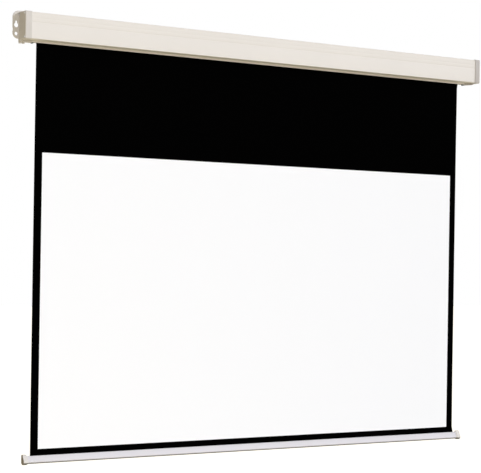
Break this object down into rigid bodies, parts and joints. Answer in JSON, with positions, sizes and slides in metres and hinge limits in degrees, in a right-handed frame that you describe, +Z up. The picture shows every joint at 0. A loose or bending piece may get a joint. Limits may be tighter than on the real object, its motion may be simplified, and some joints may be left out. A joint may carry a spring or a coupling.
{
  "type": "pull down projector screen",
  "caption": "Wall-mounted pull-down projector screen: slotted case with eared end caps, spring roller with a pawl lock, black-bordered matt sheet and a weighted bottom bar.",
  "frame": {"origin": "middle of the case's length on its back face, which lies against the wall", "axes": "+X along the case to the right as seen from the room, +Y into the wall, +Z up"},
  "size_m": [1.7588, 0.05, 1.3261],
  "materials": {
    "cream_paint": "satin powder coat",
    "cap_plastic": "fine moulded grain",
    "bar_paint": "satin coat",
    "bar_cap_plastic": "moulded",
    "black_rubber": "matt",
    "white_fabric": "matt white field inside a black border",
    "black_border": "matt black",
    "bright_steel": "zinc plated",
    "spring_steel": "oiled",
    "tube_steel": "rolled",
    "nylon": "natural"
  },
  "bodies": {
    "housing": {"case_extrusion": "cream_paint", "left_end_cap": "cap_plastic", "right_end_cap": "cap_plastic", "left_stop": "black_rubber", "right_stop": "black_rubber", "screen_fabric": "white_fabric", "idle_bush": "nylon", "spring_anchor": "nylon", "idle_bracket": "bright_steel", "spring_bracket": "bright_steel", "spring_shaft": "spring_steel", "shaft_clip": "spring_steel", "ratchet_wheel": "spring_steel", "ratchet_pin": "spring_steel", "anchor_pin": "spring_steel", "torsion_spring": "spring_steel", "left_cap_screw_1": "bright_steel", "left_cap_screw_2": "bright_steel", "left_cap_screw_3": "bright_steel", "left_bracket_screw_1": "bright_steel", "left_bracket_screw_2": "bright_steel", "right_cap_screw_1": "bright_steel", "right_cap_screw_2": "bright_steel", "right_cap_screw_3": "bright_steel", "right_bracket_screw_1": "bright_steel", "right_bracket_screw_2": "bright_steel"},
    "roller": {"roller_tube": "tube_steel", "wound_fabric": "black_border", "idle_plug": "nylon", "idle_pin": "bright_steel", "pawl_carrier": "nylon", "carrier_cover": "nylon", "first_pawl_pin": "bright_steel", "second_pawl_pin": "bright_steel", "shaft_guide": "nylon"},
    "pawl_a": {"first_pawl": "spring_steel"},
    "pawl_b": {"second_pawl": "spring_steel"},
    "bar": {"bottom_bar": "bar_paint", "left_bar_cap": "bar_cap_plastic", "right_bar_cap": "bar_cap_plastic", "hem_rod": "nylon"}
  },
  "joints": [
    {"name": "bar_slide", "type": "slide", "parent": "housing", "child": "bar", "axis": [0, 0, 1], "range_m": [0, 1.2033], "deforming": ["screen_fabric"]},
    {"name": "roller_spin", "type": "hinge", "parent": "housing", "child": "roller", "pos_m": [0, -0.02319, 0.005], "axis": [1, 0, 0], "range_deg": [0, 3960]},
    {"name": "first_pawl_swing", "type": "hinge", "parent": "roller", "child": "pawl_a", "pos_m": [0.8133, -0.02959, 0.00981], "axis": [1, 0, 0], "range_deg": [0, 22]},
    {"name": "second_pawl_swing", "type": "hinge", "parent": "roller", "child": "pawl_b", "pos_m": [0.8133, -0.01679, 0.00019], "axis": [1, 0, 0], "range_deg": [0, 22]}
  ],
  "couplings": [
    {"joint": "roller_spin", "follows": "bar_slide", "rad_per_m": 57.438}
  ]
}
